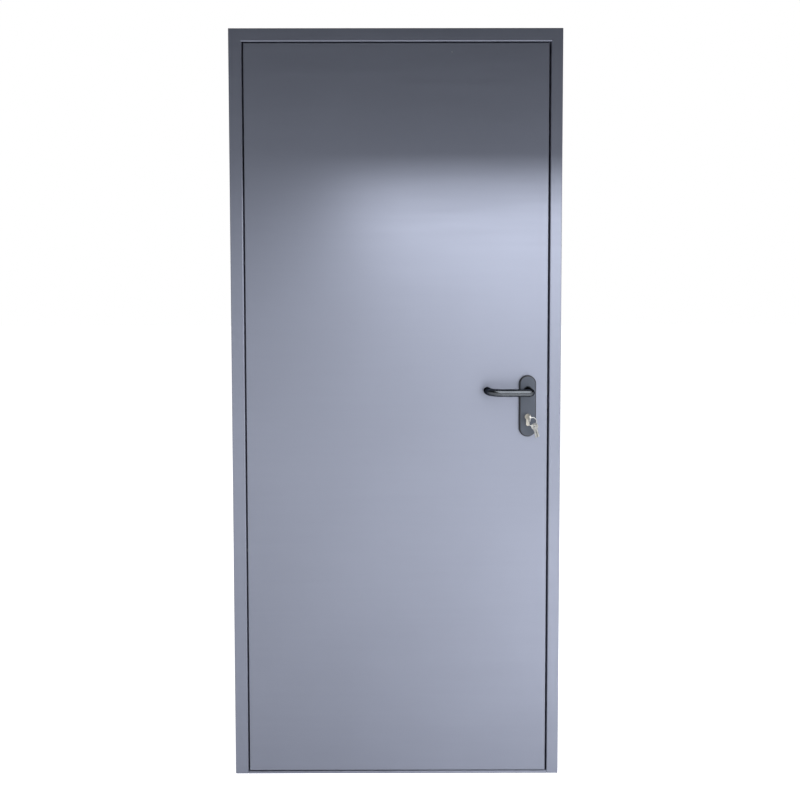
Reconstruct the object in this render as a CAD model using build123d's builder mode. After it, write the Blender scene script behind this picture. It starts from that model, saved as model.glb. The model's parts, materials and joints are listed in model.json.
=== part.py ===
"""A flush steel door in its frame, with lever handles, a profile cylinder and a key on a ring.

The frame is bent sheet, welded at mitred top corners.  The leaf is two sheet pans, closed
flush with the frame's front and hung on two barrel hinges at the back.

+X runs from the hinge side to the lock side, +Y from the front to the back, +Z up.
The origin is on the hinge jamb's outer side, in the middle of its front return, at mid-height.
"""

import os

from build123d import *

os.makedirs("parts", exist_ok=True)

# Frame, all sizes in millimetres
frame_width = 900
frame_height = 2050
frame_face = 36
lock_jamb_face = 32
frame_sheet = 2
frame_return = 14
frame_bend = 3
step_width = 15
sill_height = 6
sill_bend = 2

# Leaf
leaf_thickness = 62
leaf_sheet = 1.5
leaf_bend = 2
lip_thickness = 20
lip_width = 15
hinge_gap = 4
lock_gap = 5
head_gap = 3
foot_gap = 3
lip_gap = 4

# Rubber seals
seal_width = 7
seal_base = 1.2
sill_seal_width = 6
seal_clearance = 0.5

# Holes for the anchors that hold the frame in its wall
anchor_pitch = 500
anchor_count = 4
anchor_hole_radius = 5.5

# Barrel hinges at the back
hinge_heights = {"lower": 250, "upper": 1800}
barrel_radius = 9
barrel_clearance = 2
knuckle_height = 50
knuckle_gap = 1
hinge_pin_radius = 5
hinge_pin_length = 40
hinge_fit = 0.08
hinge_pin_end_gap = 2
wing_thickness = 4
wing_inset = 4
leaf_wing_length = 34
barrel_edge = 1

# Pins that keep the closed leaf from being lifted off its hinges
dog_count = 2
dog_pitch = 800
dog_radius = 6
dog_reach = 14
dog_shank = 20
dog_hole_clearance = 2.5
dog_edge = 2

# Lock
spindle_height = 1075
backset = 55
cylinder_drop = 72
lock_depth_in_leaf = 21
lock_face_width = 24
lock_face_height = 235
lock_face_thickness = 3
lock_face_drop = 38
lock_case_thickness = 15
lock_case_depth = 78
lock_case_height = 170
lock_case_above_spindle = 42
latch_height = 30
latch_thickness = 12
latch_length = 38
latch_bevel = 9
bolt_count = 3
bolt_pitch = 22
bolt_radius = 7
bolt_length = 36
bolt_drop = 72
strike_clearance = 2.5
strike_box_width = 26
strike_box_margin = 12
strike_box_depth = 22
strike_box_wall = 1.5

# Handle plates, levers and spindle
plate_width = 46
plate_height = 168
plate_above_spindle = 41
plate_thickness = 9
plate_edge = 4.5
collar_radius = 11.5
collar_height = 5
collar_edge = 0.6
lever_radius = 10
lever_length = 111
lever_projection = 51
lever_elbow_radius = 11
lever_return_radius = 32
lever_end_gap = 8
lever_end_edge = 2
lever_fit = 0.4
spindle_side = 8
spindle_socket = 18
spindle_clearance = 0.6
neck_gap = 1

# Profile cylinder
cylinder_radius = 8.5
cylinder_tail_width = 10
cylinder_height = 33
cylinder_proud = 2
plug_radius = 6.5
plug_length = 30
plug_proud = 0.8
plug_fit = 0.06

# Keys and their ring
key_thickness = 2.2
key_blade_height = 8
key_blade_length = 26
key_neck = 2
key_bow_radius = 11
key_hole_radius = 3
key_hole_edge = 3
ring_radius = 11.5
ring_wire_width = 1.6
ring_wire_height = 1.6
ring_drop = 0.4
ring_lean = 40
spare_keys = {"spare_key_left": (20, 14), "spare_key_right": (40, 20)}
spare_key_turn = 48
spare_key_drop = 0.3
spare_key_hole_radius = 3.4
spare_key_thickness = 2
spare_key_bow_radius = 8.5
spare_key_length = 32
spare_key_blade_width = 6.5
spare_key_point = 3

# Places that follow from the sizes above
front_y = -frame_return / 2
back_y = front_y + leaf_thickness
middle_y = (front_y + back_y) / 2
lip_front_y = back_y - lip_thickness
step_y = lip_front_y - lip_gap
floor_z = -frame_height / 2
top_z = frame_height / 2
back_rim = frame_face - step_width

rim_lock_x = frame_width - lock_jamb_face
leaf_hinge_x = frame_face + hinge_gap
leaf_lock_x = rim_lock_x - lock_gap
leaf_width = leaf_lock_x - leaf_hinge_x
leaf_bottom_z = floor_z + sill_height + foot_gap
leaf_top_z = top_z - frame_face - head_gap
leaf_height = leaf_top_z - leaf_bottom_z
core_depth = lip_front_y - front_y

hinge_x = (back_rim + leaf_hinge_x - lip_width) / 2
hinge_y = back_y + barrel_radius + barrel_clearance

lock_y = front_y + lock_depth_in_leaf
spindle_x = leaf_lock_x - backset
spindle_z = floor_z + spindle_height
cylinder_z = spindle_z - cylinder_drop
spindle_bore_radius = spindle_side / 2 * 2 ** 0.5 + spindle_clearance
plate_front_y = front_y - plate_thickness
lever_y = front_y - lever_projection
cylinder_front_y = plate_front_y - cylinder_proud
plug_front_y = cylinder_front_y - plug_proud
neck_y = front_y - neck_gap
plate_z = spindle_z + plate_above_spindle - plate_height / 2

lock_face_z = spindle_z - lock_face_drop
case_z = spindle_z + lock_case_above_spindle - lock_case_height / 2
bolts_z = spindle_z - bolt_drop
strike_top_z = spindle_z + latch_height / 2
strike_low_z = bolts_z - (bolt_count - 1) / 2 * bolt_pitch - bolt_radius

bow_y = plug_front_y - key_neck - key_bow_radius
key_hole_y = bow_y - key_bow_radius + key_hole_edge + key_hole_radius

HINGE_SIDE = Plane(origin=(0, 0, floor_z), x_dir=(1, 0, 0), z_dir=(0, 0, 1))
LOCK_SIDE = Plane(origin=(frame_width, 0, floor_z), x_dir=(-1, 0, 0), z_dir=(0, 0, -1))
HEAD = Plane(origin=(0, 0, top_z), x_dir=(0, 0, -1), z_dir=(1, 0, 0))
HINGE_MITRE = Plane(origin=(0, 0, top_z), z_dir=(1, 0, 1))
LOCK_MITRE = Plane(origin=(frame_width, 0, top_z), z_dir=(-frame_face, 0, lock_jamb_face))
LEAF_MIDDLE = Plane(origin=(0, middle_y, 0), z_dir=(0, 1, 0))


def facing_front(x, y, z):
    """A plane that looks out of the door's front, with its own x along X and its y along Z."""
    return Plane(origin=(x, y, z), x_dir=(1, 0, 0), z_dir=(0, -1, 0))


def facing_lock(x, y, z):
    """A plane that looks along +X, with its own x along Y and its y along Z."""
    return Plane(origin=(x, y, z), x_dir=(0, 1, 0), z_dir=(1, 0, 0))


def save(name, solid):
    """Labels a finished piece and writes it to its own file."""
    solid.label = name
    export_step(solid, f"parts/{name}.step")


def rim_behind(face):
    """The back flange's width behind a front face, in the share that lets the mitres meet."""
    return back_rim * face / frame_face


def jamb_section(face):
    """The bent sheet's section: x from the wall inwards, y from the front to the back."""
    rim = rim_behind(face)
    with BuildSketch() as section:
        with BuildLine():
            FilletPolyline(
                (0, front_y + frame_return),
                (0, front_y),
                (face, front_y),
                (face, step_y),
                (rim, step_y),
                (rim, back_y),
                (0, back_y),
                (0, back_y - frame_return),
                radius=frame_bend,
            )
            offset(amount=frame_sheet, side=Side.LEFT)
        make_face()
    return section.sketch


def seal_section(face):
    """A D-shaped rubber strip on the step of the jamb section, just clear of the leaf's lip."""
    middle = (rim_behind(face) + face) / 2
    low = middle - seal_width / 2
    high = middle + seal_width / 2
    with BuildSketch() as section:
        with BuildLine():
            Polyline((low, step_y + seal_base), (low, step_y), (high, step_y), (high, step_y + seal_base))
            ThreePointArc(
                (high, step_y + seal_base),
                (middle, lip_front_y - seal_clearance),
                (low, step_y + seal_base),
            )
        make_face()
    return section.sketch


def cylinder_section():
    """The profile cylinder's outline round its plug axis."""
    tail_radius = cylinder_tail_width / 2
    tail_centre = cylinder_height - cylinder_radius - tail_radius
    with BuildSketch() as section:
        Circle(cylinder_radius)
        Rectangle(cylinder_tail_width, tail_centre, align=(Align.CENTER, Align.MAX))
        with Locations((0, -tail_centre)):
            Circle(tail_radius)
    return section.sketch


# Frame: jambs, head rail and sill
with BuildPart() as hinge_jamb:
    with BuildSketch(HINGE_SIDE):
        add(jamb_section(frame_face))
    extrude(amount=frame_height)
    split(bisect_by=HINGE_MITRE, keep=Keep.BOTTOM)
    with BuildSketch(facing_lock(frame_face, lock_y, 0)):
        with GridLocations(0, anchor_pitch, 1, anchor_count):
            Circle(anchor_hole_radius)
        with GridLocations(0, dog_pitch, 1, dog_count):
            Circle(dog_radius + dog_hole_clearance)
    extrude(amount=-2 * frame_sheet, mode=Mode.SUBTRACT)
save("hinge_jamb", hinge_jamb.part)

with BuildPart() as lock_jamb:
    with BuildSketch(LOCK_SIDE):
        add(jamb_section(lock_jamb_face))
    extrude(amount=-frame_height)
    split(bisect_by=LOCK_MITRE, keep=Keep.BOTTOM)
    with BuildSketch(facing_lock(rim_lock_x, lock_y, 0)):
        with GridLocations(0, anchor_pitch, 1, anchor_count):
            Circle(anchor_hole_radius)
    extrude(amount=2 * frame_sheet, mode=Mode.SUBTRACT)
    with BuildSketch(facing_lock(rim_lock_x, lock_y, spindle_z)):
        Rectangle(latch_thickness + 2 * strike_clearance, latch_height + 2 * strike_clearance)
    extrude(amount=2 * frame_sheet, mode=Mode.SUBTRACT)
    with BuildSketch(facing_lock(rim_lock_x, lock_y, bolts_z)):
        with GridLocations(0, bolt_pitch, 1, bolt_count):
            Circle(bolt_radius + strike_clearance)
    extrude(amount=2 * frame_sheet, mode=Mode.SUBTRACT)
save("lock_jamb", lock_jamb.part)

with BuildPart() as head_rail:
    with BuildSketch(HEAD):
        add(jamb_section(frame_face))
    extrude(amount=frame_width)
    split(bisect_by=HINGE_MITRE, keep=Keep.TOP)
    split(bisect_by=LOCK_MITRE, keep=Keep.TOP)
save("head_rail", head_rail.part)

# The sill is a low channel, open below, between the jambs' inner faces
with BuildPart() as sill_bar:
    with BuildSketch(facing_lock(frame_face, 0, floor_z)):
        with BuildLine():
            FilletPolyline(
                (front_y, 0),
                (front_y, sill_height),
                (back_y, sill_height),
                (back_y, 0),
                radius=sill_bend,
            )
            offset(amount=frame_sheet, side=Side.RIGHT)
        make_face()
    extrude(amount=rim_lock_x - frame_face)
save("sill_bar", sill_bar.part)

# Rubber seals: three on the frame's step, mitred as the frame is, and one on the sill
with BuildPart() as seal_hinge_side:
    with BuildSketch(HINGE_SIDE):
        add(seal_section(frame_face))
    extrude(amount=frame_height)
    split(bisect_by=HINGE_MITRE, keep=Keep.BOTTOM)
save("seal_hinge_side", seal_hinge_side.part)

with BuildPart() as seal_lock_side:
    with BuildSketch(LOCK_SIDE):
        add(seal_section(lock_jamb_face))
    extrude(amount=-frame_height)
    split(bisect_by=LOCK_MITRE, keep=Keep.BOTTOM)
save("seal_lock_side", seal_lock_side.part)

with BuildPart() as seal_head:
    with BuildSketch(HEAD):
        add(seal_section(frame_face))
    extrude(amount=frame_width)
    split(bisect_by=HINGE_MITRE, keep=Keep.TOP)
    split(bisect_by=LOCK_MITRE, keep=Keep.TOP)
save("seal_head", seal_head.part)

with BuildPart() as seal_sill:
    with BuildSketch(facing_lock(frame_face, lock_y, floor_z + sill_height)):
        with BuildLine():
            Polyline(
                (-sill_seal_width / 2, seal_base),
                (-sill_seal_width / 2, 0),
                (sill_seal_width / 2, 0),
                (sill_seal_width / 2, seal_base),
            )
            ThreePointArc(
                (sill_seal_width / 2, seal_base),
                (0, foot_gap - seal_clearance),
                (-sill_seal_width / 2, seal_base),
            )
        make_face()
    extrude(amount=rim_lock_x - frame_face)
save("seal_sill", seal_sill.part)

# A dust box behind the strike holes, seated on the inside of the jamb's rim
with BuildPart() as strike_box:
    with BuildSketch(facing_lock(rim_lock_x + frame_sheet, lock_y, (strike_top_z + strike_low_z) / 2)):
        Rectangle(strike_box_width, strike_top_z - strike_low_z + 2 * strike_box_margin)
    extrude(amount=strike_box_depth)
    offset(
        amount=-strike_box_wall,
        openings=strike_box.faces().sort_by(Axis.X)[0],
        kind=Kind.INTERSECTION,
    )
save("strike_box", strike_box.part)

# Barrel hinges: each has a lower half with its pin on the frame and an upper half on the leaf
for hinge_name, hinge_height in hinge_heights.items():
    knuckle_z = floor_z + hinge_height
    cup_z = knuckle_z + knuckle_height + knuckle_gap
    with BuildPart() as hinge_post:
        with BuildSketch(Plane.XY.offset(knuckle_z)):
            with Locations((hinge_x, hinge_y)):
                Circle(barrel_radius)
        extrude(amount=knuckle_height)
        chamfer(hinge_post.edges().filter_by(GeomType.CIRCLE).sort_by(Axis.Z)[0], length=barrel_edge)
        with BuildSketch(Plane.XY.offset(knuckle_z + wing_inset)):
            with Locations((wing_inset, back_y)):
                Rectangle(hinge_x - wing_inset, wing_thickness, align=Align.MIN)
        extrude(amount=knuckle_height - wing_inset)
        with BuildSketch(Plane.XY.offset(knuckle_z + knuckle_height)):
            with Locations((hinge_x, hinge_y)):
                Circle(hinge_pin_radius)
        extrude(amount=hinge_pin_length)
    save(f"hinge_post_{hinge_name}", hinge_post.part)

    with BuildPart() as hinge_cup:
        with BuildSketch(Plane.XY.offset(cup_z)):
            with Locations((hinge_x, hinge_y)):
                Circle(barrel_radius)
        extrude(amount=knuckle_height)
        chamfer(hinge_cup.edges().filter_by(GeomType.CIRCLE).sort_by(Axis.Z)[-1], length=barrel_edge)
        with BuildSketch(Plane.XY.offset(cup_z)):
            with Locations((hinge_x, back_y)):
                Rectangle(leaf_wing_length, wing_thickness, align=Align.MIN)
        extrude(amount=knuckle_height - wing_inset)
        with BuildSketch(Plane.XY.offset(cup_z)):
            with Locations((hinge_x, hinge_y)):
                Circle(hinge_pin_radius + hinge_fit)
        extrude(amount=hinge_pin_length + hinge_pin_end_gap, mode=Mode.SUBTRACT)
    save(f"hinge_cup_{hinge_name}", hinge_cup.part)

# Leaf: a front pan, seated on the inner flange of a wider back pan that forms the lip
with BuildPart() as leaf_front_pan:
    with BuildSketch(facing_front(leaf_hinge_x, front_y, leaf_bottom_z)):
        Rectangle(leaf_width, leaf_height, align=Align.MIN)
    extrude(amount=-core_depth)
    fillet(leaf_front_pan.faces().sort_by(Axis.Y)[0].edges(), radius=leaf_bend)
    with BuildSketch(facing_front(leaf_hinge_x, lip_front_y, leaf_bottom_z)):
        with Locations((leaf_sheet, leaf_sheet)):
            Rectangle(leaf_width - 2 * leaf_sheet, leaf_height - 2 * leaf_sheet, align=Align.MIN)
    extrude(amount=core_depth - leaf_sheet, mode=Mode.SUBTRACT)
    with BuildSketch(facing_front(spindle_x, front_y, spindle_z)):
        Circle(spindle_bore_radius)
    with BuildSketch(facing_front(spindle_x, front_y, cylinder_z)):
        add(cylinder_section())
    extrude(amount=-2 * leaf_sheet, mode=Mode.SUBTRACT)
    with BuildSketch(facing_lock(leaf_lock_x, lock_y, lock_face_z)):
        Rectangle(lock_face_width, lock_face_height)
    extrude(amount=-2 * leaf_sheet, mode=Mode.SUBTRACT)
    with BuildSketch(facing_lock(leaf_hinge_x, lock_y, 0)):
        with GridLocations(0, dog_pitch, 1, dog_count):
            Circle(dog_radius)
    extrude(amount=2 * leaf_sheet, mode=Mode.SUBTRACT)
save("leaf_front_pan", leaf_front_pan.part)

with BuildPart() as leaf_back_pan:
    with BuildSketch(facing_front(leaf_hinge_x - lip_width, lip_front_y, leaf_bottom_z)):
        Rectangle(leaf_width + 2 * lip_width, leaf_height + lip_width, align=Align.MIN)
    extrude(amount=-lip_thickness)
    fillet(leaf_back_pan.faces().sort_by(Axis.Y)[-1].edges(), radius=leaf_bend)
    with BuildSketch(facing_front(leaf_hinge_x - lip_width, lip_front_y + leaf_sheet, leaf_bottom_z)):
        with Locations((leaf_sheet, leaf_sheet)):
            Rectangle(
                leaf_width + 2 * (lip_width - leaf_sheet),
                leaf_height + lip_width - 2 * leaf_sheet,
                align=Align.MIN,
            )
    extrude(amount=2 * leaf_sheet - lip_thickness, mode=Mode.SUBTRACT)
    with BuildSketch(facing_front(leaf_hinge_x, lip_front_y, leaf_bottom_z)):
        with Locations((leaf_sheet, leaf_sheet)):
            Rectangle(leaf_width - 2 * leaf_sheet, leaf_height - 2 * leaf_sheet, align=Align.MIN)
    extrude(amount=-leaf_sheet, mode=Mode.SUBTRACT)
    with BuildSketch(facing_front(spindle_x, back_y, spindle_z)):
        Circle(spindle_bore_radius)
    with BuildSketch(facing_front(spindle_x, back_y, cylinder_z)):
        add(cylinder_section())
    extrude(amount=2 * leaf_sheet, mode=Mode.SUBTRACT)
save("leaf_back_pan", leaf_back_pan.part)

# Two fixed pins in the leaf's hinge edge reach into holes in the jamb when the leaf is shut
with BuildPart() as hinge_dogs:
    with BuildSketch(facing_lock(leaf_hinge_x - dog_reach, lock_y, 0)):
        with GridLocations(0, dog_pitch, 1, dog_count):
            Circle(dog_radius)
    extrude(amount=dog_reach + dog_shank)
    chamfer(hinge_dogs.faces().group_by(Axis.X)[0].edges(), length=dog_edge)
save("hinge_dogs", hinge_dogs.part)

# Mortise lock: a case behind a face plate that lies flush in the leaf's edge
with BuildPart() as mortise_lock:
    with BuildSketch(facing_lock(leaf_lock_x, lock_y, lock_face_z)):
        Rectangle(lock_face_width, lock_face_height)
    extrude(amount=-lock_face_thickness)
    with BuildSketch(facing_lock(leaf_lock_x - lock_face_thickness, lock_y, case_z)):
        Rectangle(lock_case_thickness, lock_case_height)
    extrude(amount=-lock_case_depth)
    with BuildSketch(facing_lock(leaf_lock_x, lock_y, spindle_z)):
        Rectangle(latch_thickness, latch_height)
    extrude(amount=-latch_length, mode=Mode.SUBTRACT)
    with BuildSketch(facing_lock(leaf_lock_x, lock_y, bolts_z)):
        with GridLocations(0, bolt_pitch, 1, bolt_count):
            Circle(bolt_radius)
    extrude(amount=-bolt_length, mode=Mode.SUBTRACT)
    with BuildSketch(facing_front(spindle_x, lock_y, spindle_z)):
        Circle(spindle_bore_radius)
    with BuildSketch(facing_front(spindle_x, lock_y, cylinder_z)):
        add(cylinder_section())
    extrude(amount=lock_case_thickness, both=True, mode=Mode.SUBTRACT)
save("mortise_lock", mortise_lock.part)

# Latch and bolts are drawn in, flush with the face plate
with BuildPart() as latch_bolt:
    with BuildSketch(Plane.XY.offset(spindle_z - latch_height / 2)):
        with BuildLine():
            Polyline(
                (leaf_lock_x, lock_y - latch_thickness / 2),
                (leaf_lock_x - latch_length, lock_y - latch_thickness / 2),
                (leaf_lock_x - latch_length, lock_y + latch_thickness / 2),
                (leaf_lock_x - latch_bevel, lock_y + latch_thickness / 2),
                close=True,
            )
        make_face()
    extrude(amount=latch_height)
save("latch_bolt", latch_bolt.part)

with BuildPart() as dead_bolts:
    with BuildSketch(facing_lock(leaf_lock_x, lock_y, bolts_z)):
        with GridLocations(0, bolt_pitch, 1, bolt_count):
            Circle(bolt_radius)
    extrude(amount=-bolt_length)
save("dead_bolts", dead_bolts.part)

# Handle plates with round ends and a collar round each lever's neck
with BuildPart() as front_plate:
    with BuildSketch(facing_front(spindle_x, front_y, plate_z)):
        SlotOverall(plate_height, plate_width, rotation=90)
    extrude(amount=plate_thickness)
    fillet(front_plate.faces().sort_by(Axis.Y)[0].edges(), radius=plate_edge)
    with BuildSketch(facing_front(spindle_x, front_y, spindle_z)):
        Circle(lever_radius + lever_fit)
    with BuildSketch(facing_front(spindle_x, front_y, cylinder_z)):
        add(cylinder_section())
    extrude(amount=plate_thickness, mode=Mode.SUBTRACT)
save("front_plate", front_plate.part)

with BuildPart() as front_collar:
    with BuildSketch(facing_front(spindle_x, plate_front_y, spindle_z)):
        Circle(collar_radius)
    extrude(amount=collar_height)
    chamfer(front_collar.faces().sort_by(Axis.Y)[0].edges(), length=collar_edge)
    with BuildSketch(facing_front(spindle_x, plate_front_y, spindle_z)):
        Circle(lever_radius + lever_fit)
    extrude(amount=collar_height, mode=Mode.SUBTRACT)
save("front_collar", front_collar.part)

# Round-bar lever: out of the plate, along the door and back towards its face
with BuildPart() as front_lever:
    with BuildLine(Plane.XY.offset(spindle_z)) as lever_path:
        FilletPolyline(
            (spindle_x, neck_y),
            (spindle_x, lever_y),
            (spindle_x - lever_length, lever_y),
            (spindle_x - lever_length, front_y - lever_end_gap),
            radius=(lever_elbow_radius, lever_return_radius),
        )
    with BuildSketch(facing_front(spindle_x, neck_y, spindle_z)):
        Circle(lever_radius)
    sweep(path=lever_path.line)
    lever_end = front_lever.faces().filter_by(GeomType.PLANE).sort_by(Axis.X)[0]
    chamfer(lever_end.edges(), length=lever_end_edge)
    with BuildSketch(facing_front(spindle_x, neck_y, spindle_z)):
        Rectangle(spindle_side, spindle_side)
    extrude(amount=spindle_socket, mode=Mode.SUBTRACT)
save("front_lever", front_lever.part)

with BuildPart() as spindle:
    with BuildSketch(facing_front(spindle_x, neck_y - spindle_socket, spindle_z)):
        Rectangle(spindle_side, spindle_side)
    extrude(amount=-2 * (middle_y - neck_y + spindle_socket))
save("spindle", spindle.part)

# The same plate, collar and lever stand on the back
for back_name, front_piece in {
    "back_plate": front_plate,
    "back_collar": front_collar,
    "back_lever": front_lever,
}.items():
    with BuildPart() as back_piece:
        mirror(front_piece.part, about=LEAF_MIDDLE)
    save(back_name, back_piece.part)

# Profile cylinder, through both plates and the lock, with a plug bored in at each end
with BuildPart() as cylinder:
    with BuildSketch(facing_front(spindle_x, cylinder_front_y, cylinder_z)):
        add(cylinder_section())
    extrude(amount=-2 * (middle_y - cylinder_front_y))
    with BuildSketch(facing_front(spindle_x, cylinder_front_y, cylinder_z)):
        Circle(plug_radius + plug_fit)
    extrude(amount=-plug_length, mode=Mode.SUBTRACT)
    with BuildSketch(facing_front(spindle_x, 2 * middle_y - cylinder_front_y, cylinder_z)):
        Circle(plug_radius + plug_fit)
    extrude(amount=plug_length, mode=Mode.SUBTRACT)
save("cylinder", cylinder.part)

with BuildPart() as front_plug:
    with BuildSketch(facing_front(spindle_x, plug_front_y, cylinder_z)):
        Circle(plug_radius)
        Rectangle(key_thickness, key_blade_height, mode=Mode.SUBTRACT)
    extrude(amount=-plug_length)
save("front_plug", front_plug.part)

with BuildPart() as back_plug:
    with BuildSketch(facing_front(spindle_x, 2 * middle_y - plug_front_y, cylinder_z)):
        Circle(plug_radius + plug_fit)
        Rectangle(key_thickness, key_blade_height, mode=Mode.SUBTRACT)
    extrude(amount=plug_length)
save("back_plug", back_plug.part)

# The key stands in the front plug with its bow upright
with BuildPart() as key:
    with BuildSketch(facing_lock(spindle_x, 0, cylinder_z)):
        with Locations((bow_y, 0)):
            Circle(key_bow_radius)
            Rectangle(
                plug_front_y + key_blade_length - bow_y,
                key_blade_height,
                align=(Align.MIN, Align.CENTER),
            )
        with Locations((key_hole_y, 0)):
            Circle(key_hole_radius, mode=Mode.SUBTRACT)
    extrude(amount=key_thickness / 2, both=True)
save("key", key.part)

# A flat wire ring hangs in the bow's hole, with two more keys on its low side
ring_top = Vector(spindle_x, key_hole_y, cylinder_z - ring_drop)
ring_up = Vector(0, 0, 1).rotate(Axis.Y, -ring_lean)
ring_centre = ring_top - ring_up * ring_radius
with BuildPart() as key_ring:
    with BuildSketch(Plane(origin=ring_top, x_dir=ring_up, z_dir=Vector(0, 1, 0).cross(ring_up))):
        Rectangle(ring_wire_width, ring_wire_height)
    revolve(axis=Axis(ring_centre, (0, 1, 0)))
save("key_ring", key_ring.part)

key_normal = Vector(0, -1, 0).rotate(Axis.Z, -spare_key_turn)
key_across = Vector(1, 0, 0).rotate(Axis.Z, -spare_key_turn)
bow_drop = spare_key_bow_radius - key_hole_edge - spare_key_hole_radius
for key_name, (place_on_ring, lean) in spare_keys.items():
    wire_point = ring_centre + Vector(0, 0, -ring_radius).rotate(Axis.Y, -place_on_ring)
    hole_centre = wire_point - Vector(0, 0, spare_key_drop)
    across = key_across.rotate(Axis((0, 0, 0), key_normal), lean)
    with BuildPart() as spare_key:
        with BuildSketch(Plane(origin=hole_centre, x_dir=across, z_dir=key_normal)):
            with Locations((0, -bow_drop)):
                Circle(spare_key_bow_radius)
            with BuildLine():
                Polyline(
                    (-spare_key_blade_width / 2, -bow_drop),
                    (-spare_key_blade_width / 2, spare_key_point - spare_key_length),
                    (0, -spare_key_length),
                    (spare_key_blade_width / 2, spare_key_point - spare_key_length),
                    (spare_key_blade_width / 2, -bow_drop),
                    close=True,
                )
            make_face()
            Circle(spare_key_hole_radius, mode=Mode.SUBTRACT)
        extrude(amount=spare_key_thickness / 2, both=True)
    save(key_name, spare_key.part)
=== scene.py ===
# %% [markdown]
# # Dressing a flush steel door
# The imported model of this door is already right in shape: a bent steel frame, a leaf of two
# sheet pans, hinges, a lock, levers and keys. This lesson gives every piece its real finish
# and adds the small things that a lathe, a press or a welder leaves behind, such as screws,
# weld beads and cut key blades. Everything is in metres, in the frame of the model.

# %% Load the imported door
import json
import math

import bmesh
import bpy
from mathutils import Matrix, Vector


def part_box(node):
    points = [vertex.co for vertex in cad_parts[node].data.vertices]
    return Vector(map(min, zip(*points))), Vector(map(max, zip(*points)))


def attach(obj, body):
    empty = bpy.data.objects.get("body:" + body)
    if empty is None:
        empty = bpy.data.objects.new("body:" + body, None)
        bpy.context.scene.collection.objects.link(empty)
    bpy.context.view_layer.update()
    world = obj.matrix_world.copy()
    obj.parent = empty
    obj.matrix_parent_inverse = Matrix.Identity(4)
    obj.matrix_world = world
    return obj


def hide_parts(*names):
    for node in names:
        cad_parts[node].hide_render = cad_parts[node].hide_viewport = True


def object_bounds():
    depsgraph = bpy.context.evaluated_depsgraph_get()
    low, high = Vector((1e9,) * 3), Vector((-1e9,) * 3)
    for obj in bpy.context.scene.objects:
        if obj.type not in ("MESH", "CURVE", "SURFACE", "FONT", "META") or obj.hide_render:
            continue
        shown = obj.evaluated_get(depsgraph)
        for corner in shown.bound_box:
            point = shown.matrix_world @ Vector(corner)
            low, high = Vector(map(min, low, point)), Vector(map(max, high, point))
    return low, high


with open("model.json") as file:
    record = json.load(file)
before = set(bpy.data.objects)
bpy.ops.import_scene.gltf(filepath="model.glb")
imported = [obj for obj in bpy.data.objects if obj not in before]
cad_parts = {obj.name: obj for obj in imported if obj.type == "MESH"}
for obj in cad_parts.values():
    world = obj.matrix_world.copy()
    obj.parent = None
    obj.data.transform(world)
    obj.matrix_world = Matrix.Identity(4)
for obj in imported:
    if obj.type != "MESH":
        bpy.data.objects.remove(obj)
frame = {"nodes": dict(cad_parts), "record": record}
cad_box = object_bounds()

nodes_of_door = frame["nodes"]
print("pieces in the packed door:", len(nodes_of_door))
print("its box in metres:", [round(value, 3) for corner in cad_box for value in corner])

# %% [markdown]
# ## The camera
# The photograph was taken from about a metre and a half away with a short lens, a little
# higher than the handle and tipped slightly down. A short lens close by is what makes the
# head of the frame look wider than its foot. The place, the tilt and the small shift were
# worked out from the four corners of the frame, so the render can be laid over the photograph.

# %% Place the camera
front_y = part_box("front_plate")[1].y
door_low, door_high = cad_box
camera_place = Vector((0.4595, front_y - 1.483, 0.287))
camera_tilt = math.radians(1.75)
camera_roll = 0.0013
camera_turn = -0.0007
focal_pixels = 545
image_pixels = 800
sensor_width = 36

camera_data = bpy.data.cameras.new("photo_camera")
camera_data.sensor_width = sensor_width
camera_data.lens = focal_pixels / image_pixels * sensor_width
camera_data.shift_y = -0.1
camera = bpy.data.objects.new("photo_camera", camera_data)
bpy.context.scene.collection.objects.link(camera)
camera.location = camera_place
camera.rotation_euler = (math.radians(90) - camera_tilt, camera_roll, camera_turn)
bpy.context.scene.camera = camera
print("lens:", round(camera_data.lens, 1), "mm")

# %% [markdown]
# ## The floor
# The door stands on a pale floor with nothing behind it, and the photograph shows pure white
# all round. A floor that really was that bright would throw its light up at the door, so it is
# a middling grey instead, and only rays from the camera and mirrored rays see it brighter. Its
# own light is added to what falls on it, so the shadow at the foot of the door stays. Mirrored
# rays see it grow brighter with distance, which lights the lower half of the door.

# %% Lay the pale floor
floor_side = 60
floor_mesh = bpy.data.meshes.new("floor")
shape = bmesh.new()
bmesh.ops.create_grid(shape, x_segments=1, y_segments=1, size=floor_side / 2)
shape.to_mesh(floor_mesh)
shape.free()
floor = bpy.data.objects.new("floor", floor_mesh)
bpy.context.scene.collection.objects.link(floor)
floor.location = ((door_low.x + door_high.x) / 2, 0, door_low.z)


def empty_material(name):
    """A new material, with the tools that the other functions need to fill it."""
    material = bpy.data.materials.new(name)
    material.use_nodes = True
    tree = material.node_tree
    return material, tree.nodes, tree.links, tree.nodes["Principled BSDF"]


def eased(nodes, links, value, start, end, at_start, at_end):
    """A number that moves softly between two levels as a value goes from start to end."""
    ease = nodes.new("ShaderNodeMapRange")
    ease.interpolation_type = "SMOOTHSTEP"
    ease.inputs["From Min"].default_value = start
    ease.inputs["From Max"].default_value = end
    ease.inputs["To Min"].default_value = at_start
    ease.inputs["To Max"].default_value = at_end
    links.new(value, ease.inputs["Value"])
    return ease.outputs["Result"]


def product(nodes, links, first, second):
    """One number times another."""
    times = nodes.new("ShaderNodeMath")
    times.operation = "MULTIPLY"
    links.new(first, times.inputs[0])
    links.new(second, times.inputs[1])
    return times.outputs[0]


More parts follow.
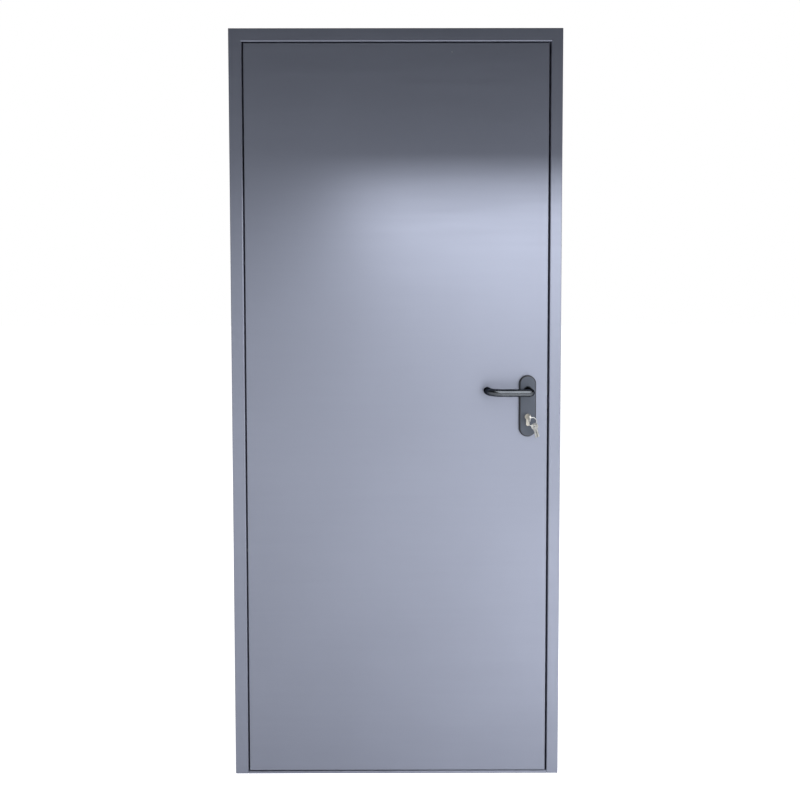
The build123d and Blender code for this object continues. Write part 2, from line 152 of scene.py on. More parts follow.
floor_lift_seen = 0.90
floor_lift_near, floor_lift_far = 0.25, 0.82
near_floor, far_floor = 0.3, 3.5
floor_material, nodes, links, shader = empty_material("pale_floor")
shader.inputs["Base Color"].default_value = (0.60, 0.60, 0.605, 1)
shader.inputs["Roughness"].default_value = 0.9
shader.inputs["Specular IOR Level"].default_value = 0.1
path = nodes.new("ShaderNodeLightPath")
distance = nodes.new("ShaderNodeVectorMath")
distance.operation = "LENGTH"
links.new(nodes.new("ShaderNodeTexCoord").outputs["Object"], distance.inputs[0])
far_lift = eased(
    nodes, links, distance.outputs["Value"], near_floor, far_floor, floor_lift_near, floor_lift_far,
)
mirrored_lift = product(nodes, links, path.outputs["Is Glossy Ray"], far_lift)
lift = nodes.new("ShaderNodeMath")
lift.operation = "MULTIPLY_ADD"
lift.inputs[1].default_value = floor_lift_seen
links.new(path.outputs["Is Camera Ray"], lift.inputs[0])
links.new(mirrored_lift, lift.inputs[2])
shader.inputs["Emission Color"].default_value = (1, 1, 1, 1)
links.new(lift.outputs[0], shader.inputs["Emission Strength"])
floor_mesh.materials.append(floor_material)
print("floor:", floor_side, "m wide, at height", round(floor.location.z, 3))

# %% [markdown]
# ## The light
# A satin door is half a mirror, so most of its look is what stands in front of it. In the
# photograph the door is bright up to a soft line near its head and dark above that line. Only
# a large lamp that hangs level in front of the door does this: from below the lamp's own height
# the door mirrors its glowing underside, and from above it mirrors the dark ceiling. The same
# lamp draws the long stripe on the lever. The world holds three things, told apart by Light
# Path: white to the camera, an even soft light to matt surfaces, and to glossy ones a pale
# room with a dark ceiling and a dimmer wall on the left.

# %% Fill the room
world = bpy.data.worlds.new("studio")
bpy.context.scene.world = world
world.use_nodes = True
nodes = world.node_tree.nodes
links = world.node_tree.links
nodes.clear()
white = (1, 1, 1, 1)
cool_white = (0.95, 0.97, 1, 1)
matt_strength, back_strength = 0.34, 1.0
wall_top_low, wall_top_high = 0.12, 0.27
wall_strength, ceiling_strength = 1.05, 0.01
left_wall_end, left_wall_start, left_wall_share = -0.9, -0.4, 0.5


def glow(colour, strength):
    """A background light."""
    light = nodes.new("ShaderNodeBackground")
    light.inputs["Color"].default_value = colour
    light.inputs["Strength"].default_value = strength
    return light


def chosen(when, otherwise, this):
    """One light for the rays that a Light Path output names, and another for the rest."""
    mix = nodes.new("ShaderNodeMixShader")
    links.new(when, mix.inputs["Fac"])
    links.new(otherwise, mix.inputs[1])
    links.new(this, mix.inputs[2])
    return mix.outputs[0]


direction = nodes.new("ShaderNodeSeparateXYZ")
links.new(nodes.new("ShaderNodeTexCoord").outputs["Generated"], direction.inputs[0])
up_wall = eased(
    nodes, links, direction.outputs["Z"], wall_top_low, wall_top_high, wall_strength, ceiling_strength,
)
along_wall = eased(
    nodes, links, direction.outputs["X"], left_wall_end, left_wall_start, left_wall_share, 1,
)
mirrored = glow(cool_white, wall_strength)
links.new(product(nodes, links, up_wall, along_wall), mirrored.inputs["Strength"])

path = nodes.new("ShaderNodeLightPath")
for_gloss = chosen(
    path.outputs["Is Glossy Ray"], glow(white, matt_strength).outputs[0], mirrored.outputs[0],
)
for_camera = chosen(
    path.outputs["Is Camera Ray"], for_gloss, glow(white, back_strength).outputs[0],
)
world_out = nodes.new("ShaderNodeOutputWorld")
links.new(for_camera, world_out.inputs["Surface"])
bpy.context.scene.view_settings.view_transform = "Standard"
print("room wall and ceiling, mirrored:", wall_strength, ceiling_strength)

# %% Hang the lamps


def soft_lamp(name, place, target, width, depth, watts):
    """A rectangular studio lamp that points at a place and isn't seen by the camera."""
    data = bpy.data.lights.new(name, "AREA")
    data.shape = "RECTANGLE"
    data.size = width
    data.size_y = depth
    data.energy = watts
    lamp = bpy.data.objects.new(name, data)
    bpy.context.scene.collection.objects.link(lamp)
    lamp.location = place
    aim = Vector(target) - Vector(place)
    lamp.rotation_euler = aim.to_track_quat("-Z", "Y").to_euler()
    lamp.visible_camera = False
    return lamp


lamp_height = 0.69
lamp_near, lamp_far = -0.36, -3.1
lamp_left, lamp_right = 0.28, 2.4
lamp_middle = Vector(((lamp_left + lamp_right) / 2, (lamp_near + lamp_far) / 2, lamp_height))
straight_down = Vector((0, 0.001, -1))
hanging_watts, floor_watts, back_watts = 61, 18, 30
hanging_lamp = soft_lamp(
    "hanging_lamp", lamp_middle, lamp_middle + straight_down,
    lamp_right - lamp_left, lamp_near - lamp_far, hanging_watts,
)
floor_lamp = soft_lamp("floor_lamp", (1.6, -0.9, 0.0), (1.05, -0.35, -1.0), 0.8, 0.6, floor_watts)
floor_lamp.visible_glossy = False
back_lamp = soft_lamp("back_lamp", (-0.6, 3.2, 0.9), (0.2, 0, 0.6), 2.6, 0.8, back_watts)
print("lamps:", [lamp.name for lamp in (hanging_lamp, floor_lamp, back_lamp)])

# %% [markdown]
# ## The paint
# Powder coat is a baked plastic film with a little metal flake in this colour. Close by it
# has the fine ripple called orange peel, and the thin sheet under it is never quite flat, so
# broad reflections wander a little. Both are heights, so both go through Bump nodes, the
# small one on top of the large one. The colour drifts by a few percent, as baked paint does,
# and the gloss has faint level streaks from the rolling of the sheet.

# %% Mix the powder coat


def noise_at(nodes, links, place, scale, detail=3.0, stretch=(1, 1, 1)):
    """Smooth noise in the piece's own metres, stretched along its axes where asked."""
    mapping = nodes.new("ShaderNodeMapping")
    mapping.inputs["Scale"].default_value = stretch
    links.new(place, mapping.inputs["Vector"])
    noise = nodes.new("ShaderNodeTexNoise")
    noise.inputs["Scale"].default_value = scale
    noise.inputs["Detail"].default_value = detail
    links.new(mapping.outputs["Vector"], noise.inputs["Vector"])
    return noise.outputs["Fac"]


def bump_on(nodes, links, height, distance, under=None):
    """A Bump node of that height in metres, on top of another where one is given."""
    bump = nodes.new("ShaderNodeBump")
    bump.inputs["Distance"].default_value = distance
    links.new(height, bump.inputs["Height"])
    if under is not None:
        links.new(under, bump.inputs["Normal"])
    return bump.outputs["Normal"]


def two_tone(nodes, links, factor, dark, light, low=0.3, high=0.7):
    """A colour that goes from dark to light as a factor rises."""
    ramp = nodes.new("ShaderNodeValToRGB")
    ramp.color_ramp.elements[0].position = low
    ramp.color_ramp.elements[0].color = (*dark, 1)
    ramp.color_ramp.elements[1].position = high
    ramp.color_ramp.elements[1].color = (*light, 1)
    links.new(factor, ramp.inputs["Fac"])
    return ramp.outputs["Color"]


def spread(nodes, links, factor, low, high):
    """A number that goes from low to high as a factor rises from 0.3 to 0.7."""
    span = nodes.new("ShaderNodeMapRange")
    span.inputs["From Min"].default_value = 0.3
    span.inputs["From Max"].default_value = 0.7
    span.inputs["To Min"].default_value = low
    span.inputs["To Max"].default_value = high
    links.new(factor, span.inputs["Value"])
    return span.outputs["Result"]


def powder_coat(name, colour, metal, rough_low, rough_high):
    """Baked paint with orange peel, on sheet that isn't quite flat."""
    material, nodes, links, shader = empty_material(name)
    place = nodes.new("ShaderNodeTexCoord").outputs["Object"]
    sheet_wave, peel_height = 0.0008, 0.00002
    drift = noise_at(nodes, links, place, 2.2, 2.0)
    darker = [value * (1 - colour_drift) for value in colour]
    lighter = [value * (1 + colour_drift) for value in colour]
    links.new(two_tone(nodes, links, drift, darker, lighter), shader.inputs["Base Color"])
    shader.inputs["Metallic"].default_value = metal
    streaks = noise_at(nodes, links, place, 60, 4.0, (0.06, 1, 1))
    links.new(spread(nodes, links, streaks, rough_low, rough_high), shader.inputs["Roughness"])
    sheet = bump_on(nodes, links, noise_at(nodes, links, place, 2.0, 0.0), sheet_wave)
    peel = bump_on(nodes, links, noise_at(nodes, links, place, 420, 2.0), peel_height, sheet)
    links.new(peel, shader.inputs["Normal"])
    return material


door_blue = (0.281, 0.302, 0.377)
hinge_blue = [value * 0.9 for value in door_blue]
flake_share = 0.88
colour_drift = 0.025
door_paint = powder_coat("door_paint", door_blue, flake_share, 0.44, 0.48)
hinge_paint = powder_coat("hinge_paint", hinge_blue, flake_share, 0.44, 0.50)
print("door colour, linear:", door_blue)

# %% [markdown]
# ## Rubber and nylon
# The seals are matt rubber. Plates and levers are steel cased in black nylon. The flat of a
# plate has a fine grain and looks grey, and the lever is smooth and looks black beside it. The
# plate's rolled rim gets a darker colour, which is painted shade: the finish asks which way the
# surface faces, as the piece's own normal points straight out on the flat and turns away on
# the rim. The lever's coat mirrors the lamp in a sharp stripe, and a dark Specular Tint turns
# its edges black.

# %% Mix the dark materials


def seal_rubber():
    """Matt rubber with a faint bloom."""
    material, nodes, links, shader = empty_material("seal_rubber")
    place = nodes.new("ShaderNodeTexCoord").outputs["Object"]
    bloom = noise_at(nodes, links, place, 90, 4.0)
    tone = two_tone(nodes, links, bloom, (0.006, 0.006, 0.007), (0.014, 0.014, 0.016))
    links.new(tone, shader.inputs["Base Color"])
    shader.inputs["Roughness"].default_value = 0.75
    grain = bump_on(nodes, links, noise_at(nodes, links, place, 1500, 2.0), 0.00004)
    links.new(grain, shader.inputs["Normal"])
    return material


def nylon_with_painted_rim_shade(flat_tone, painted_rim_shade):
    """Grained grey nylon on the flat of a plate, with painted shade darkening its rim."""
    material, nodes, links, shader = empty_material("nylon_with_painted_rim_shade")
    coordinates = nodes.new("ShaderNodeTexCoord")
    sides = nodes.new("ShaderNodeSeparateXYZ")
    links.new(coordinates.outputs["Normal"], sides.inputs[0])
    unshaded_flat_mask = nodes.new("ShaderNodeMath")
    unshaded_flat_mask.operation = "ABSOLUTE"
    links.new(sides.outputs["Y"], unshaded_flat_mask.inputs[0])
    # The rim colour is painted shade, laid where the surface turns away from the front.
    tone = two_tone(nodes, links, unshaded_flat_mask.outputs[0], painted_rim_shade, flat_tone, 0.90, 0.99)
    links.new(tone, shader.inputs["Base Color"])
    grain = noise_at(nodes, links, coordinates.outputs["Object"], 1400, 3.0)
    links.new(spread(nodes, links, grain, 0.40, 0.50), shader.inputs["Roughness"])
    links.new(bump_on(nodes, links, grain, 0.00003), shader.inputs["Normal"])
    return material


def lever_coat():
    """A smooth black coat with dark edges, and more gloss where hands have been."""
    material, nodes, links, shader = empty_material("lever_coat")
    place = nodes.new("ShaderNodeTexCoord").outputs["Object"]
    touched = noise_at(nodes, links, place, 35, 3.0)
    tone = two_tone(nodes, links, touched, (0.092, 0.100, 0.112), (0.112, 0.121, 0.135))
    links.new(tone, shader.inputs["Base Color"])
    links.new(spread(nodes, links, touched, 0.24, 0.30), shader.inputs["Roughness"])
    shader.inputs["Metallic"].default_value = 1.0
    shader.inputs["Specular Tint"].default_value = (0.03, 0.03, 0.035, 1)
    grain = bump_on(nodes, links, noise_at(nodes, links, place, 2400, 2.0), 0.00001)
    links.new(grain, shader.inputs["Normal"])
    return material


rubber = seal_rubber()
# The second colour is painted shade for the plate's rim.
plate_with_rim_shade = nylon_with_painted_rim_shade((0.046, 0.055, 0.074), (0.008, 0.009, 0.012))
lever_black = lever_coat()
print("dark materials:", [material.name for material in (rubber, plate_with_rim_shade, lever_black)])

# %% [markdown]
# ## Metals
# Lock parts are zinc plated, the cylinder is satin nickel, the keys are nickel plated and the
# hinge washers are brass. Each metal gets its scratches from noise that is stretched along the
# way it was ground, which changes the roughness and the normal together.

# %% Mix the metals


def ground_metal(name, dark, light, rough_low, rough_high, stretch, depth):
    """Plated metal with fine grinding marks along one way and soft stains."""
    material, nodes, links, shader = empty_material(name)
    place = nodes.new("ShaderNodeTexCoord").outputs["Object"]
    stain = noise_at(nodes, links, place, 110, 4.0)
    links.new(two_tone(nodes, links, stain, dark, light), shader.inputs["Base Color"])
    shader.inputs["Metallic"].default_value = 1.0
    marks = noise_at(nodes, links, place, 900, 3.0, stretch)
    links.new(spread(nodes, links, marks, rough_low, rough_high), shader.inputs["Roughness"])
    links.new(bump_on(nodes, links, marks, depth), shader.inputs["Normal"])
    return material


zinc = ground_metal(
    "zinc_plate", (0.44, 0.45, 0.46), (0.62, 0.62, 0.60), 0.30, 0.45, (1, 1, 0.08), 0.00002,
)
nickel = ground_metal(
    "satin_nickel", (0.50, 0.48, 0.43), (0.66, 0.63, 0.57), 0.25, 0.38, (1, 0.1, 1), 0.00002,
)
key_nickel = ground_metal(
    "key_nickel", (0.40, 0.40, 0.39), (0.66, 0.66, 0.64), 0.20, 0.34, (1, 1, 0.1), 0.00001,
)
brass = ground_metal(
    "brass", (0.55, 0.40, 0.17), (0.70, 0.52, 0.25), 0.28, 0.42, (1, 1, 1), 0.00001,
)
print("metals:", [metal.name for metal in (zinc, nickel, key_nickel, brass)])

finish_of_slot = {
    "paint": door_paint,
    "hinge_paint": hinge_paint,
    "rubber": rubber,
    "black": plate_with_rim_shade,
    "zinc": zinc,
    "nickel": nickel,
    "key_metal": key_nickel,
}

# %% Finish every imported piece
for subpart in frame["record"]["subparts"]:
    piece = nodes_of_door[subpart["node"]]
    piece.data.materials.clear()
    piece.data.materials.append(finish_of_slot[subpart["material_slot"]])
for name in ("front_lever", "back_lever", "front_collar", "back_collar"):
    nodes_of_door[name].data.materials[0] = lever_black

# %% [markdown]
# ## From a shape to a piece
# Every small piece below is made in mesh code, then handed to one helper that smooths it,
# gives it its finish and makes it ride on a body of the door, so that it moves when the leaf,
# the levers or the key move.

# %% A helper for every added piece


def add_piece(name, shape, material, body, smooth_angle=35):
    """Turns a finished bmesh into a piece of the door that rides on a body."""
    mesh = bpy.data.meshes.new(name)
    bmesh.ops.recalc_face_normals(shape, faces=shape.faces)
    shape.to_mesh(mesh)
    shape.free()
    mesh.materials.append(material)
    piece = bpy.data.objects.new(name, mesh)
    bpy.context.scene.collection.objects.link(piece)
    mesh.shade_smooth()
    mesh.set_sharp_from_angle(angle=math.radians(smooth_angle))
    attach(piece, body)
    return piece


def facing(place, out):
    """A place whose z axis points the given way."""
    turn = Vector(out).to_track_quat("Z", "Y").to_matrix().to_4x4()
    return Matrix.Translation(Vector(place)) @ turn


def join_rings(shape, rings, closed):
    """Faces between each ring of points and the next, and back to the first where closed."""
    pairs = list(zip(rings, rings[1:]))
    if closed:
        pairs.append((rings[-1], rings[0]))
    for here, there in pairs:
        for index in range(len(here)):
            after = (index + 1) % len(here)
            shape.faces.new((here[index], here[after], there[after], there[index]))


def turned(shape, profile, place, steps=40):
    """Spins a closed profile of (radius, height) points round the z axis of a place."""
    rings = []
    for step in range(steps):
        turn = place @ Matrix.Rotation(2 * math.pi * step / steps, 4, "Z")
        points = [turn @ Vector((radius, 0, height)) for radius, height in profile]
        rings.append([shape.verts.new(point) for point in points])
    join_rings(shape, rings, closed=True)


# %% [markdown]
# ## Screws
# The front plate shows no screws: both plates are drawn together by two long ones from the
# back. The lock's face plate is held by two more, and a small set screw under each lever's
# neck grips the spindle. All have a round head with a recess, a cross or a hexagon, so one
# function makes them: a dished head is turned as rings of points, the recess is a smaller
# outline sunk into it, and the flat between the two outlines is filled with triangles.

# %% Outlines of the recesses


def cross_recess(radius):
    """The outline of a cross, with arms that reach a little over half way out."""
    half_arm, reach = radius * 0.17, radius * 0.55
    corners = []
    for quarter in range(4):
        turn = Matrix.Rotation(math.pi / 2 * quarter, 3, "Z")
        for x, y in ((reach, -half_arm), (reach, half_arm), (half_arm, half_arm)):
            corners.append(turn @ Vector((x, y, 0)))
    return corners


def hexagon_recess(radius):
    """The outline of a hexagon socket, half as wide as its screw."""
    reach = radius * 0.55
    angles = [math.pi / 3 * corner for corner in range(6)]
    return [Vector((reach * math.cos(angle), reach * math.sin(angle), 0)) for angle in angles]


# %% Make the screws


def screw(name, place, out, radius, recess, body):
    """A screw head whose top is at a place and faces a way, with a recess in it."""
    shape = bmesh.new()
    seat = facing(place, out)
    steps = 32
    top_share, tail_share, floor_share = 0.93, 0.5, 0.8
    chamfer, tail_depth, recess_depth = radius * 0.08, radius * 0.7, radius * 0.45
    circle = []
    for step in range(steps):
        angle = 2 * math.pi * (step + 0.5) / steps
        circle.append(Vector((radius * math.cos(angle), radius * math.sin(angle), 0)))

    def ring(outline, share, depth):
        """The outline again, drawn in by a share of its size and sunk by a depth."""
        return [shape.verts.new(seat @ (point * share - Vector((0, 0, depth)))) for point in outline]

    edge = ring(circle, top_share, 0)
    side = ring(circle, 1, chamfer)
    tail = ring(circle, tail_share, tail_depth)
    join_rings(shape, [edge, side, tail], closed=False)
    shape.faces.new(tail)
    top = ring(recess, 1, 0)
    low = ring(recess, floor_share, recess_depth)
    join_rings(shape, [top, low], closed=False)
    shape.faces.new(low)
    loops = []
    for corners in (edge, top):
        pairs = zip(corners, corners[1:] + corners[:1])
        loops += [shape.edges.get(pair) for pair in pairs]
    bmesh.ops.triangle_fill(shape, use_beauty=True, edges=loops)
    return add_piece(name, shape, zinc, body)


screws = []
head_radius = 0.004
proud = 0.0002
plate_low, plate_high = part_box("back_plate")
spindle_x = (plate_low.x + plate_high.x) / 2
screw_inset = 0.014
for label, z in (("upper", plate_high.z - screw_inset), ("lower", plate_low.z + screw_inset)):
    seat = (spindle_x, plate_high.y + proud, z)
    name = f"back_plate_screw_{label}"
    screws.append(screw(name, seat, (0, 1, 0), head_radius, cross_recess(head_radius), "leaf"))

lock_low, lock_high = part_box("mortise_lock")
lock_y = (lock_low.y + lock_high.y) / 2
lock_inset = 0.010
for label, z in (("upper", lock_high.z - lock_inset), ("lower", lock_low.z + lock_inset)):
    seat = (lock_high.x + proud, lock_y, z)
    name = f"lock_screw_{label}"
    screws.append(screw(name, seat, (1, 0, 0), head_radius, cross_recess(head_radius), "leaf"))

set_screw_radius = 0.0024
set_screw_from_collar = 0.011
for side, out in (("front", -1), ("back", 1)):
    collar_low, collar_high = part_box(f"{side}_collar")
    lever_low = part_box(f"{side}_lever")[0]
    outer = collar_low.y if out < 0 else collar_high.y
    seat = (spindle_x, outer + out * set_screw_from_collar, lever_low.z - proud)
    recess = hexagon_recess(set_screw_radius)
    name = f"{side}_set_screw"
    screws.append(screw(name, seat, (0, 0, -1), set_screw_radius, recess, "levers"))
print("screws:", len(screws))

# %% [markdown]
# ## The split ring
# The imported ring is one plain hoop. The real one is a flat spring wire wound twice round,
# which is how keys are threaded on. Its path is a helix that stays level and climbs by one
# wire's thickness in a short step, so the path is a formula, and a small rounded rectangle is
# carried along it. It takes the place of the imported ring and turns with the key.

# %% Wind the split ring


def wound_ring(name, centre, radius, wire_out, wire_thick):
    """Flat wire wound a little under two turns round the y axis, with a short step in between."""
    shape = bmesh.new()
    turns, steps = 1.93, 150
    step_start, step_end = 0.90, 1.04
    first_angle = -2.2
    coil_play = 1.04
    corner = 0.3
    half_out, half_thick = wire_out / 2, wire_thick / 2
    section = [
        (-half_out, -half_thick * corner), (-half_out * corner, -half_thick),
        (half_out * corner, -half_thick), (half_out, -half_thick * corner),
        (half_out, half_thick * corner), (half_out * corner, half_thick),
        (-half_out * corner, half_thick), (-half_out, half_thick * corner),
    ]
    rings = []
    for index in range(steps + 1):
        turn = turns * index / steps
        climb = min(max((turn - step_start) / (step_end - step_start), 0), 1)
        level = (climb * climb * (3 - 2 * climb) - 0.5) * wire_thick * coil_play
        angle = 2 * math.pi * turn + first_angle
        outward = Vector((math.cos(angle), 0, math.sin(angle)))
        rings.append([
            shape.verts.new(centre + outward * (radius + out) + Vector((0, level + thick, 0)))
            for out, thick in section
        ])
    join_rings(shape, rings, closed=False)
    shape.faces.new(rings[0])
    shape.faces.new(rings[-1])
    return add_piece(name, shape, key_nickel, "key", 50)


ring_low, ring_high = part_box("key_ring")
ring_centre = (ring_low + ring_high) / 2
wire = ring_high.y - ring_low.y
ring_radius = (ring_high.x - ring_low.x - wire) / 2
one_coil = wire / 2.1
split_ring = wound_ring("split_ring", ring_centre, ring_radius, wire, one_coil)
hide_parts("key_ring")
print("ring radius:", round(ring_radius * 1000, 1), "mm")

# %% [markdown]
# ## The keys
# A key is stamped from strip: a flat outline with a hole, edges rounded by tumbling, a bow
# pressed thinner inside its rim and a blade with cuts along one edge and a thicker spine along
# the other. A filled curve does all of that without modelling: its points are the outline, a
# second closed spline is the hole, extrude gives the thickness and bevel rounds the edges. Three
# such curves, a thin plate, a thicker rim and a spine, make one key.

# %% Stamp a flat outline


def circle_outline(x, y, radius, steps=40):
    """Points round a circle."""
    angles = [2 * math.pi * step / steps for step in range(steps)]
    return [(x + radius * math.cos(angle), y + radius * math.sin(angle)) for angle in angles]


def stamped(shape, outlines, thickness, edge, place):
    """Adds to a shape a plate of that outline, the further outlines being holes in it."""
    curve = bpy.data.curves.new("outline", "CURVE")
    curve.dimensions = "2D"
    curve.fill_mode = "BOTH"
    curve.extrude = thickness / 2 - edge
    curve.bevel_depth = edge
    curve.bevel_resolution = 2
    curve.offset = -edge
    for outline in outlines:
        spline = curve.splines.new("POLY")
        spline.points.add(len(outline) - 1)
        for point, (x, y) in zip(spline.points, outline):
            point.co = (x, y, 0, 1)
        spline.use_cyclic_u = True
    holder = bpy.data.objects.new("outline", curve)
    bpy.context.scene.collection.objects.link(holder)
    bpy.context.view_layer.update()
    finished = holder.evaluated_get(bpy.context.evaluated_depsgraph_get())
    mesh = bpy.data.meshes.new_from_object(finished)
    bpy.data.objects.remove(holder)
    bpy.data.curves.remove(curve)
    mesh.transform(place)
    shape.from_mesh(mesh)
    bpy.data.meshes.remove(mesh)
    same_place = 1e-6
    bmesh.ops.remove_doubles(shape, verts=shape.verts, dist=same_place)


# %% Cut a blade


def blade_outline(bow_radius, bow_y, width, tip_y, cuts):
    """A round bow with a blade under it that ends in a point, with cuts along its left edge."""
    half = width / 2
    spread_angle = math.asin(half / bow_radius)
    steps = 44
    start, end = -math.pi / 2 + spread_angle, 3 * math.pi / 2 - spread_angle
    points = []
    for step in range(steps + 1):
        angle = start + (end - start) * step / steps
        points.append((bow_radius * math.cos(angle), bow_y + bow_radius * math.sin(angle)))
    pitch, cut_mouth, cut_flat, shoulder = 0.0032, 0.00144, 0.0007, 0.005
    first = bow_y - bow_radius - shoulder
    for index, depth in enumerate(cuts):
        middle = first - index * pitch
        points += [
            (-half, middle + cut_mouth), (-half + depth, middle + cut_flat),
            (-half + depth, middle - cut_flat), (-half, middle - cut_mouth),
        ]
    point_length, point_width = 0.003, half * 0.3
    points += [
        (-half, tip_y + point_length), (-point_width, tip_y),
        (point_width, tip_y), (half, tip_y + point_length),
    ]
    return points


def cut_key(
    name, node, place, bow_radius, bow_y, hole_radius, hole_y, width, tip_y, thickness, cuts,
):
    """A key in place of a packed one: a thin plate, a thicker rim round its bow and a spine."""
    shape = bmesh.new()
    edge, spine_edge = 0.0003, 0.0002
    rim, spine_width = 0.0022, 0.0012
    inset = 0.0001
    plate_thickness = thickness * 0.72
    hole = circle_outline(0, hole_y, hole_radius)
    outline = blade_outline(bow_radius, bow_y, width, tip_y, cuts)
    stamped(shape, [outline, hole], plate_thickness, edge, place)
    bow = circle_outline(0, bow_y, bow_radius - inset, 60)
    inside = circle_outline(0, bow_y, bow_radius - rim, 48)
    stamped(shape, [bow, inside], thickness, edge, place)
    back_edge = width / 2
    root_y = bow_y - bow_radius + 0.001
    outer_end, inner_end = tip_y + 0.0035, tip_y + 0.002
    spine = [
        (back_edge - spine_width, root_y), (back_edge - inset, root_y),
        (back_edge - inset, outer_end), (back_edge - spine_width, inner_end),
    ]
    stamped(shape, [spine], thickness, spine_edge, place)
    piece = add_piece(name, shape, key_nickel, "key", 40)
    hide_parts(node)
    return piece


# %% Put the key in the plug
key_low, key_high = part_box("key")
key_thickness = key_high.x - key_low.x
key_bow_radius = (key_high.z - key_low.z) / 2
key_middle = (key_low + key_high) / 2
bow_place_y = key_low.y + key_bow_radius
key_hole_radius, key_hole_edge = 0.003, 0.003
blade_height = 0.008
key_place = Matrix((
    (0, 0, 1, key_middle.x),
    (0, 1, 0, bow_place_y),
    (-1, 0, 0, key_middle.z),
    (0, 0, 0, 1),
)) @ Matrix.Rotation(math.pi, 4, "Z")
key_hole_y = key_bow_radius - key_hole_edge - key_hole_radius
key_cuts = (0.0014, 0.0008, 0.0018, 0.0011, 0.0016)
keys = [cut_key(
    "door_key", "key", key_place, key_bow_radius, 0, key_hole_radius, key_hole_y,
    blade_height, bow_place_y - key_high.y, key_thickness, key_cuts,
)]
print("key bow:", round(2 * key_bow_radius * 1000), "mm wide")

# %% Hang the two spare keys on the ring
# The turn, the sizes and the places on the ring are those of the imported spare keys.
spare_turn = math.radians(48)
spare_radius, spare_hole_radius, spare_hole_edge = 0.0085, 0.0034, 0.003
spare_width, spare_length, spare_thickness = 0.0065, 0.032, 0.002
spare_bow_y = spare_hole_radius + spare_hole_edge - spare_radius
spare_drop = 0.0003
spare_keys = {
    "left": (20, 14, (0.0010, 0.0016, 0.0007, 0.0013, 0.0017)),
    "right": (40, 20, (0.0015, 0.0008, 0.0014, 0.0010, 0.0006)),
}
key_out = Matrix.Rotation(-spare_turn, 3, "Z") @ Vector((0, -1, 0))
key_across = Matrix.Rotation(-spare_turn, 3, "Z") @ Vector((1, 0, 0))
for label, (place_on_ring, lean, cuts) in spare_keys.items():
    down_wire = Matrix.Rotation(-math.radians(place_on_ring), 3, "Y") @ Vector((0, 0, -ring_radius))
    hole_centre = ring_centre + down_wire - Vector((0, 0, spare_drop))
    across = Matrix.Rotation(math.radians(lean), 3, key_out) @ key_across
    up = key_out.cross(across)
    place = Matrix((across, up, key_out)).transposed().to_4x4()
    place.translation = hole_centre
    keys.append(cut_key(
        f"spare_{label}", f"spare_key_{label}", place, spare_radius, spare_bow_y,
        spare_hole_radius, 0, spare_width, -spare_length, spare_thickness, cuts,
    ))
print("keys:", len(keys))

# %% [markdown]
# ## Hinges
# Each hinge is two barrels on a pin. A brass washer carries the leaf between them, and a domed
# cap keeps the grease in. Both are turned profiles: each one is a closed outline of radius and
# height. The wings are welded on, and a hand-laid weld is a row of overlapping
# ripples: a half-round bead whose radius swells and shrinks along its length. A formula for
# that radius is enough, and no ripple needs modelling by hand.

# %% Washers and caps
barrel_radius = 0.009
washer_bore, washer_thickness, washer_drop = 0.0053, 0.0008, 0.0009
cap_sunk = 0.0005
washer_outline = [
    (washer_bore, 0), (barrel_radius, 0),
    (barrel_radius, washer_thickness), (washer_bore, washer_thickness),
]
cap_outline = [
    (0.0001, 0), (0.0042, 0), (0.0042, 0.0009),
    (0.0034, 0.0016), (0.0018, 0.0020), (0.0001, 0.0021),
]
joints = {joint["name"]: joint for joint in frame["record"]["behaviour"]["joints"]}
hinge_x, hinge_y = joints["leaf_swing"]["pos_m"][:2]
hinge_rounds = []
for level in ("lower", "upper"):
    cup_low, cup_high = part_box(f"hinge_cup_{level}")
    washer = bmesh.new()
    turned(washer, washer_outline, facing((hinge_x, hinge_y, cup_low.z - washer_drop), (0, 0, 1)))
    hinge_rounds.append(add_piece(f"hinge_washer_{level}", washer, brass, "frame"))
    cap = bmesh.new()
    turned(cap, cap_outline, facing((hinge_x, hinge_y, cup_high.z - cap_sunk), (0, 0, 1)))
    hinge_rounds.append(add_piece(f"hinge_cap_{level}", cap, lever_black, "leaf", 60))
print("hinge washers and caps:", len(hinge_rounds))

# %% Weld the wings


def weld_bead(name, low, high, radius, body):
    """A rippled bead of weld up a line, with rounded ends."""
    shape = bmesh.new()
    length = (high - low).length
    pitch = 0.0022
    ripple_height, wander_height = 0.10, 0.06
    steps = int(length / pitch * 6)
    sides = 12
    rings = []
    for step in range(steps + 1):
        along = step / steps
        ripple = 1 + ripple_height * abs(math.sin(math.pi * along * length / pitch))
        end = min(1, math.sqrt(max(0.02, min(along, 1 - along) * length / radius)))
        wander = 1 + wander_height * math.sin(31 * along + low.z * 7)
        reach = radius * ripple * end * wander
        middle = low.lerp(high, along)
        rings.append([
            shape.verts.new(middle + Vector((
                reach * math.cos(2 * math.pi * side / sides),
                reach * math.sin(2 * math.pi * side / sides),
                0,
            )))
            for side in range(sides)
        ])
    join_rings(shape, rings, closed=False)
    shape.faces.new(rings[0])
    shape.faces.new(rings[-1])
    return add_piece(name, shape, hinge_paint, body, 60)


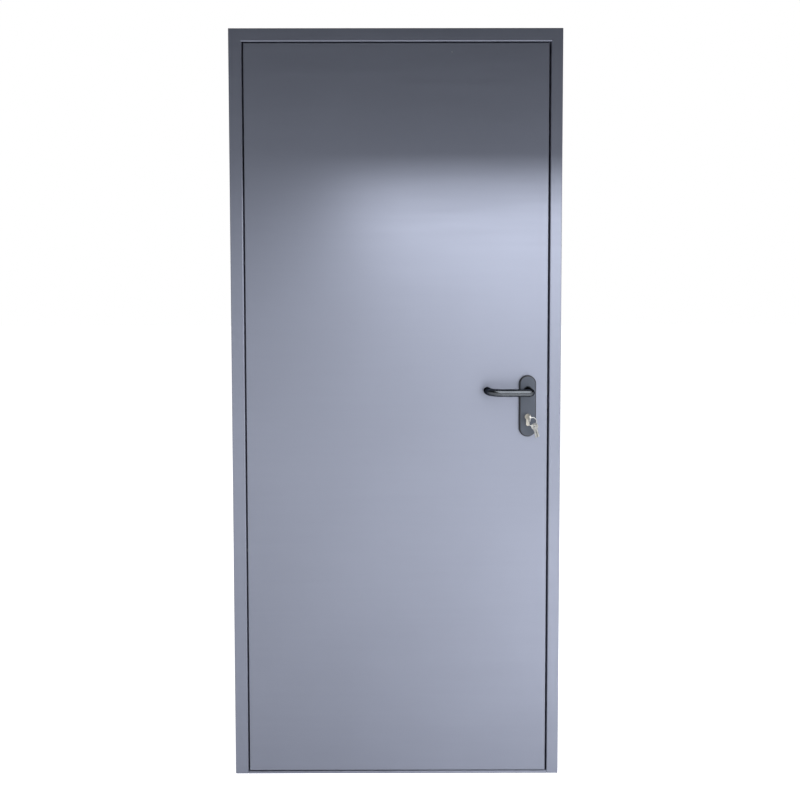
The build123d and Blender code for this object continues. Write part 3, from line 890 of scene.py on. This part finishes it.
bead_radius = 0.0026
wing_end_gap = 0.006
weld_beads = []
for level in ("lower", "upper"):
    post_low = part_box(f"hinge_post_{level}")[0]
    cup_low, cup_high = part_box(f"hinge_cup_{level}")
    for name, x, bottom, top, body in (
        ("post", post_low.x, post_low.z, cup_low.z - 0.001, "frame"),
        ("cup", cup_high.x, cup_low.z, cup_high.z - 0.004, "leaf"),
    ):
        bead_y = post_low.y + bead_radius * 0.4
        start = Vector((x, bead_y, bottom + wing_end_gap))
        end = Vector((x, bead_y, top - wing_end_gap))
        weld_beads.append(weld_bead(f"{name}_weld_{level}", start, end, bead_radius, body))
print("weld beads:", len(weld_beads))

# %% [markdown]
# ## A chip in the paint
# High on the leaf something has knocked off a sliver of paint and bared the primer. The hollow
# is a few millimetres long and too small to show a depth, so it is made as a ragged patch that
# lies on the sheet, a tenth of a millimetre thick in the middle and thin at its edge.

# %% Chip the paint
primer, nodes, links, shader = empty_material("bared_primer")
place = nodes.new("ShaderNodeTexCoord").outputs["Object"]
grain = noise_at(nodes, links, place, 1200, 3.0)
tone = two_tone(nodes, links, grain, (0.42, 0.44, 0.48), (0.66, 0.67, 0.70))
links.new(tone, shader.inputs["Base Color"])
shader.inputs["Roughness"].default_value = 0.6
chip = bmesh.new()
chip_middle = Vector((0.601, front_y, 0.961))
chip_length, chip_width, chip_depth = 0.0055, 0.0017, 0.00012
chip_lean = math.radians(62)
ragged = (1.0, 0.72, 1.1, 0.8, 1.0, 0.65, 1.15, 0.85, 0.95, 0.7, 1.05, 0.8)
crown = chip.verts.new(chip_middle + Vector((0, -chip_depth, 0)))
rim = []
lean = Matrix.Rotation(chip_lean, 3, "Y")
for index, reach in enumerate(ragged):
    angle = 2 * math.pi * index / len(ragged)
    along, across = chip_length / 2 * math.cos(angle), chip_width / 2 * math.sin(angle)
    rim.append(chip.verts.new(chip_middle + lean @ Vector((along, 0, across)) * reach))
for index in range(len(rim)):
    chip.faces.new((crown, rim[index], rim[(index + 1) % len(rim)]))
add_piece("paint_chip", chip, primer, "leaf", 180)
print("chip:", chip_length * 1000, "mm long")
